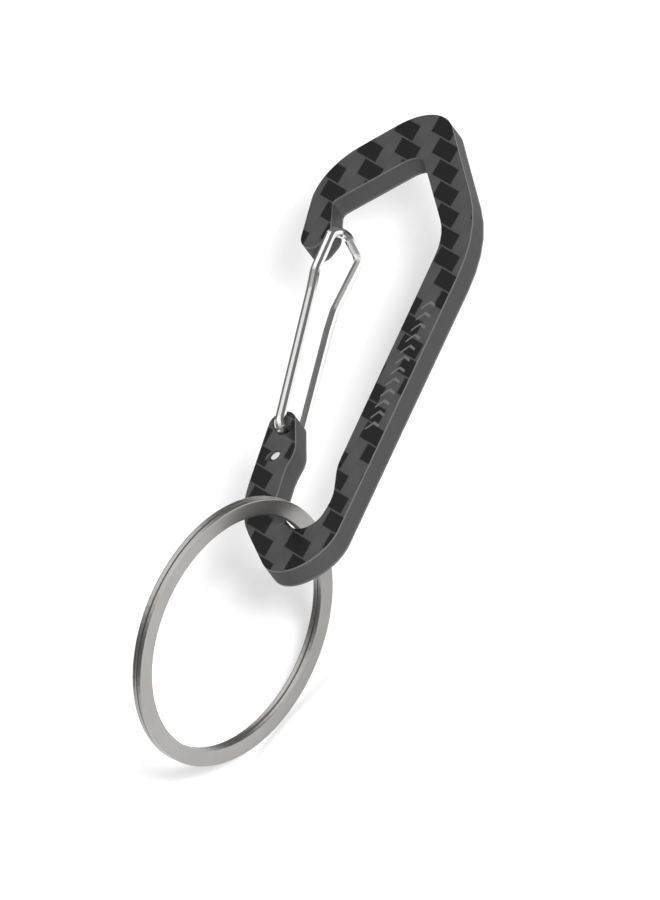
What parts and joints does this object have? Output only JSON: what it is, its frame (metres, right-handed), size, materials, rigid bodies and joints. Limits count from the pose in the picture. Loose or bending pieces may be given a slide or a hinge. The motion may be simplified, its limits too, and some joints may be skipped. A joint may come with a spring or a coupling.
{
  "type": "carabiner key organiser",
  "caption": "Flat carbon plate carabiner with a bent wire gate and a split key ring threaded through its lower pocket.",
  "frame": {"origin": "on the inside of the opening's top corner, at mid thickness, where the carabiner hangs", "axes": "+Y up along the spine, +Z out of the front face, +X from the gate towards the spine"},
  "size_m": [0.0289, 0.0946, 0.0303],
  "materials": {
    "carbon_plate": "satin carbon fibre twill, matt cut edges",
    "gate_wire": "polished stainless wire",
    "ring_steel": "fine satin on the flats, polished edges"
  },
  "bodies": {
    "plate": {"carabiner_plate": "carbon_plate"},
    "gate": {"wire_gate": "gate_wire"},
    "ring": {"split_ring": "ring_steel"}
  },
  "joints": [
    {"name": "gate_hinge", "type": "hinge", "parent": "plate", "child": "gate", "pos_m": [-0.00072, -0.04575, 0], "axis": [0, 0, -1], "range_deg": [0, 20], "stiffness_Nm_per_rad": 0.06, "springref_deg": -20.05},
    {"name": "ring_turn", "type": "hinge", "parent": "plate", "child": "ring", "pos_m": [0.00133, -0.0723, -0.00265], "axis": [0.8854, -0.3592, -0.2951], "continuous": true}
  ]
}
